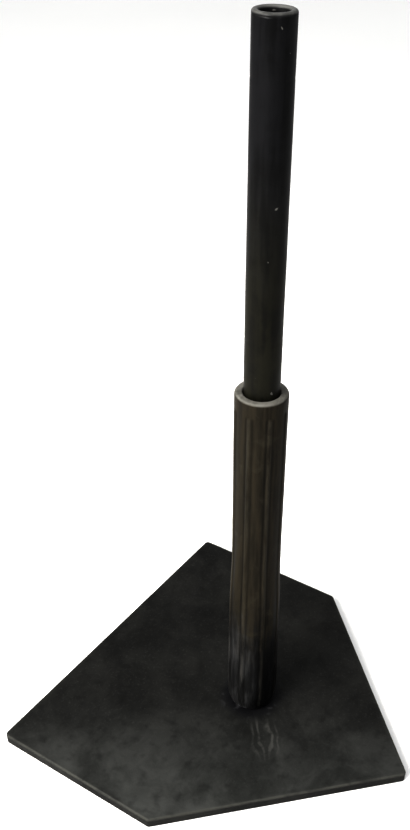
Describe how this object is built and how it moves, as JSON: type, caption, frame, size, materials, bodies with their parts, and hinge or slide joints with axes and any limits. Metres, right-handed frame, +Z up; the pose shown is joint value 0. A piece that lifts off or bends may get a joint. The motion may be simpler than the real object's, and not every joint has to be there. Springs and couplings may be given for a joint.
{
  "type": "batting tee",
  "caption": "Rubber home-plate base carrying a ribbed rubber stem in which a plain rubber tube slides up and down to set the height of the ball.",
  "frame": {"origin": "on the floor under the stem's axis, which is the middle of the home plate's outline", "axes": "+Z up the stem, +Y towards the plate's straight front edge, -Y towards its point, +X to the right seen from behind the point"},
  "size_m": [0.4318, 0.4295, 0.7922],
  "materials": {
    "plate_rubber": "moulded, scuffed black rubber",
    "stem_rubber": "moulded black rubber with a brown bloom",
    "tube_rubber": "smooth extruded black rubber",
    "zinc_steel": "bright zinc plate",
    "plug_wood": "turned hardwood, unpainted"
  },
  "bodies": {
    "base": {"base_plate": "plate_rubber", "backing_disc": "zinc_steel", "anchor_bolt": "zinc_steel", "anchor_plug": "plug_wood", "plug_washer": "zinc_steel", "lock_washer": "zinc_steel", "anchor_nut": "zinc_steel", "stem_tube": "stem_rubber"},
    "sliding_tube": {"top_tube": "tube_rubber"}
  },
  "joints": [
    {"name": "height_slide", "type": "slide", "parent": "base", "child": "sliding_tube", "axis": [0, 0, 1], "range_m": [-0.122, 0.05]}
  ]
}
